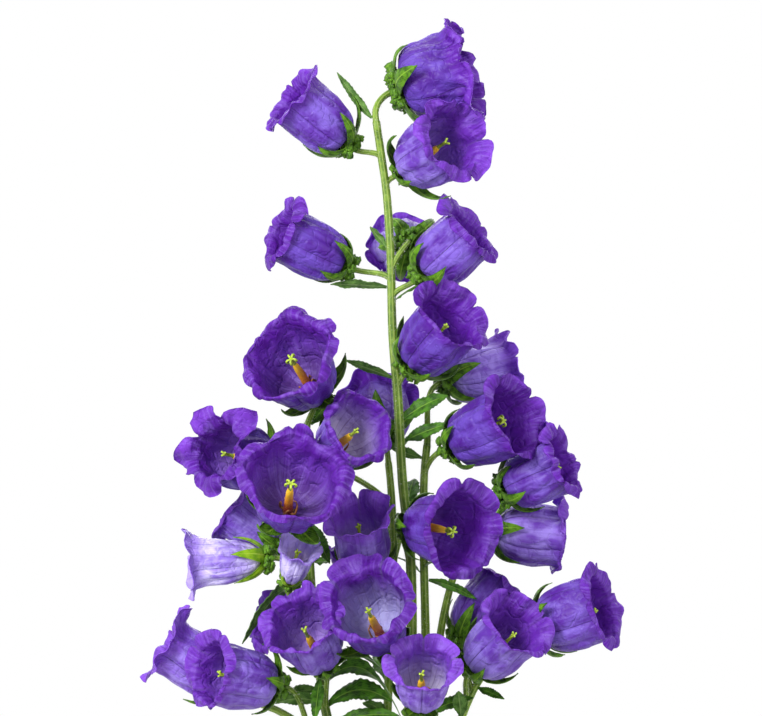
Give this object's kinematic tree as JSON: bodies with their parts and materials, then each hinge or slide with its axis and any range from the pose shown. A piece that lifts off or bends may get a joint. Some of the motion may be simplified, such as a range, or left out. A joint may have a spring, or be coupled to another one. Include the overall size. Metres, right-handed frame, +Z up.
{
  "type": "canterbury bells in vase",
  "caption": "Bouquet of violet canterbury bells: branched green stems with lobed bell flowers, calyces and leaves standing in a plain round glazed vase.",
  "frame": {"origin": "centre of the vase's flat foot, on the surface it stands on", "axes": "+Z up along the vase's axis, -Y towards the bouquet's front, +X to its right as seen from the front"},
  "size_m": [0.2727, 0.161, 0.6027],
  "materials": {
    "glaze": "plain off-white gloss glaze",
    "stem": "living green stem, ridged and finely hairy",
    "petal": "violet petal, satin, veined",
    "pale_petal": "pale lavender petal, satin, veined",
    "leaf": "dark green leaf, matte, toothed"
  },
  "bodies": {
    "root": {"bell_01": "petal", "bell_02": "petal", "bell_03": "petal", "bell_04": "petal", "bell_05": "petal", "bell_06": "petal", "bell_07": "petal", "bell_08": "petal", "bell_09": "petal", "bell_10": "petal", "bell_11": "petal", "bell_12": "petal", "bell_13": "petal", "bell_14": "petal", "bell_15": "petal", "bell_16": "pale_petal", "bell_17": "pale_petal", "bell_18": "petal", "bell_19": "petal", "bell_20": "petal", "bell_21": "petal", "bell_22": "petal", "bell_23": "petal", "bell_24": "petal", "bell_25": "petal", "bell_26": "petal", "bell_27": "petal", "bell_28": "petal", "bell_29": "petal", "bell_30": "petal", "bell_31": "petal", "leaf_back": "leaf", "leaf_back_low": "leaf", "leaf_big_arched": "leaf", "leaf_big_low": "leaf", "leaf_big_upper": "leaf", "leaf_bract": "leaf", "leaf_cluster_front": "leaf", "leaf_cluster_left": "leaf", "leaf_cluster_right": "leaf", "leaf_crossing": "leaf", "leaf_folded": "leaf", "leaf_left_hanging": "leaf", "leaf_right_bract": "leaf", "leaf_right_low": "leaf", "leaf_right_tip": "leaf", "leaf_second": "leaf", "leaf_stem_right": "leaf", "leaf_top": "leaf", "leaf_under": "leaf", "leaf_upper": "leaf", "leaf_upper_small": "leaf", "stem_centre": "stem", "stem_left": "stem", "stem_lower_left": "stem", "stem_lower_right": "stem", "stem_main": "stem", "stem_right": "stem", "stem_upper_right": "stem", "vase": "glaze"}
  },
  "joints": []
}
